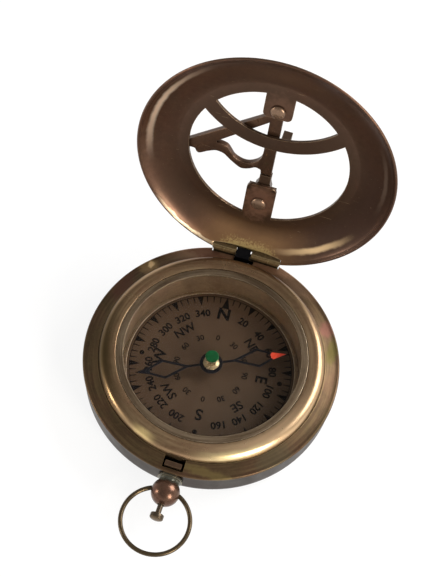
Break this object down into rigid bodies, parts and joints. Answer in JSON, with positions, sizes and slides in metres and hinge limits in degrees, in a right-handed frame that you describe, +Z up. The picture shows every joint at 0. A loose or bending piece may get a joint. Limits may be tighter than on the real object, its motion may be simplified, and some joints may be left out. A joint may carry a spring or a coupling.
{
  "type": "sundial compass",
  "caption": "Round pocket compass with a pierced, spring-lifted lid that carries a folding sundial gnomon, opened by a push button inside a bail ring.",
  "frame": {"origin": "centre of the flat back of the case, which the instrument lies on", "axes": "+Z up through the dial, +Y towards the lid hinge, the push button at -Y"},
  "size_m": [0.0756, 0.1171, 0.0862],
  "materials": {
    "aged_brass": "antiqued satin",
    "dark_brass": "dark brown antiqued satin",
    "polished_brass": "worn polish",
    "blued_steel": "blackened",
    "etched_dial": "matte, etched and filled",
    "window_glass": "clear",
    "green_jewel": "gloss"
  },
  "bodies": {
    "case": {"case_cup": "aged_brass", "rim_flange": "aged_brass", "compass_bowl": "aged_brass", "bezel": "polished_brass", "glass_ring": "polished_brass", "glass": "window_glass", "dial_plate": "etched_dial", "dial_ring": "polished_brass", "pivot_pin": "polished_brass", "case_knuckle_left": "aged_brass", "case_knuckle_right": "aged_brass", "hinge_pin": "blued_steel", "pendant": "aged_brass", "lift_spring_screw": "polished_brass", "latch_spring_screw": "polished_brass"},
    "needle": {"needle_blade": "blued_steel", "needle_hub": "blued_steel", "needle_cap": "polished_brass", "cap_jewel": "green_jewel"},
    "lid": {"lid_shell": "dark_brass", "lid_knuckle_left": "aged_brass", "lid_knuckle_right": "aged_brass", "top_bracket": "dark_brass", "low_bracket": "dark_brass", "top_rivet": "polished_brass", "low_rivet": "polished_brass", "stop_block": "dark_brass"},
    "gnomon": {"gnomon": "polished_brass"},
    "push_button": {"push_button": "polished_brass"},
    "latch_spring": {"latch_spring": "aged_brass"},
    "lift_spring": {"lift_spring": "blued_steel"},
    "bail_ring": {"bail_ring": "polished_brass"}
  },
  "joints": [
    {"name": "lid_hinge", "type": "hinge", "parent": "case", "child": "lid", "pos_m": [0, 0.0362, 0.01393], "axis": [1, 0, 0], "range_deg": [0, 103.2], "stiffness_Nm_per_rad": 0.012},
    {"name": "gnomon_hinge", "type": "hinge", "parent": "lid", "child": "gnomon", "pos_m": [0.0008, 0.05057, 0.04774], "axis": [0, -0.2284, -0.9736], "range_deg": [0, 90]},
    {"name": "needle_spin", "type": "hinge", "parent": "case", "child": "needle", "pos_m": [0, 0, 0.0091], "axis": [0, 0, 1], "continuous": true},
    {"name": "button_press", "type": "slide", "parent": "case", "child": "push_button", "axis": [0.0192, 0.9998, 0], "range_m": [0, 0.0012], "stiffness_N_per_m": 800},
    {"name": "latch_release", "type": "hinge", "parent": "case", "child": "latch_spring", "pos_m": [0.0141, -0.03182, 0.0081], "axis": [0, 0, -1], "range_deg": [0, 8.5]},
    {"name": "lift_flex", "type": "hinge", "parent": "case", "child": "lift_spring", "pos_m": [-0.01471, 0.03154, 0.0081], "axis": [0, 0, -1], "range_deg": [0, 2.4]},
    {"name": "bail_swing", "type": "hinge", "parent": "case", "child": "bail_ring", "pos_m": [-0.0008, -0.04149, 0.008], "axis": [-0.9998, 0.0192, 0], "range_deg": [-22, 107]}
  ],
  "couplings": [
    {"joint": "latch_release", "follows": "button_press", "rad_per_m": 68},
    {"joint": "lift_flex", "follows": "lid_hinge", "ratio": 0.0227}
  ]
}
